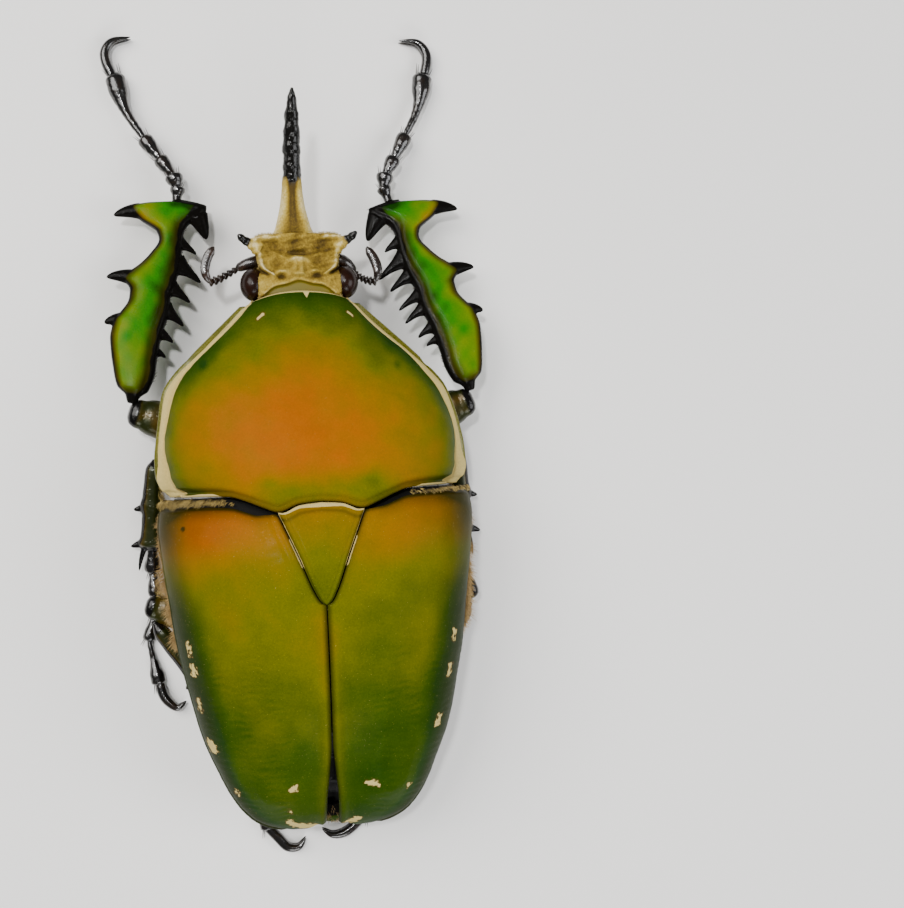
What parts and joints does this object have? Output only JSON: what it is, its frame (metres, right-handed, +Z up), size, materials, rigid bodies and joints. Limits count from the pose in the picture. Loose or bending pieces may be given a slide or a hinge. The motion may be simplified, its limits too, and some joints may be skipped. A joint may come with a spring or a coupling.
{
  "type": "ugandan flower beetle",
  "caption": "Life-size still model of a horned male flower beetle, lying on its belly with legs drawn in and toothed fore legs stretched ahead.",
  "frame": {"origin": "on the floor, at the flat of the breast between the middle and hind legs", "axes": "+Y towards the head along the body, +X to the beetle's right, +Z up"},
  "size_m": [0.0441, 0.0981, 0.0215],
  "materials": {
    "pronotum_shell": "satin orange shading to olive green at the edges, cream rim",
    "wing_case_shell": "smooth olive green with orange shoulders and dark green sides",
    "underside_shell": "glossy dark green and brown",
    "head_shell": "dull ochre, very short velvet",
    "horn": "ochre root and glossy black tip",
    "eyes": "dark brown, smooth",
    "feelers": "dark brown",
    "fore_leg_shell": "glossy metallic green with black teeth",
    "leg_shell": "glossy dark green",
    "feet": "glossy black"
  },
  "bodies": {
    "root": {"abdomen": "underside_shell", "antenna_l": "feelers", "antenna_r": "feelers", "coxa_fore_l": "leg_shell", "coxa_fore_r": "leg_shell", "coxa_hind_l": "leg_shell", "coxa_hind_r": "leg_shell", "coxa_mid_l": "leg_shell", "coxa_mid_r": "leg_shell", "elytron_l": "wing_case_shell", "elytron_r": "wing_case_shell", "eye_l": "eyes", "eye_r": "eyes", "femur_fore_l": "leg_shell", "femur_fore_r": "leg_shell", "femur_hind_l": "leg_shell", "femur_hind_r": "leg_shell", "femur_mid_l": "leg_shell", "femur_mid_r": "leg_shell", "head": "head_shell", "horn": "horn", "mouthparts": "feelers", "pronotum": "pronotum_shell", "prosternum": "underside_shell", "pygidium": "wing_case_shell", "scutellum": "wing_case_shell", "tarsus_fore_l": "feet", "tarsus_fore_r": "feet", "tarsus_hind_l": "feet", "tarsus_hind_r": "feet", "tarsus_mid_l": "feet", "tarsus_mid_r": "feet", "thorax": "underside_shell", "tibia_fore_l": "fore_leg_shell", "tibia_fore_r": "fore_leg_shell", "tibia_hind_l": "leg_shell", "tibia_hind_r": "leg_shell", "tibia_mid_l": "leg_shell", "tibia_mid_r": "leg_shell"}
  },
  "joints": []
}
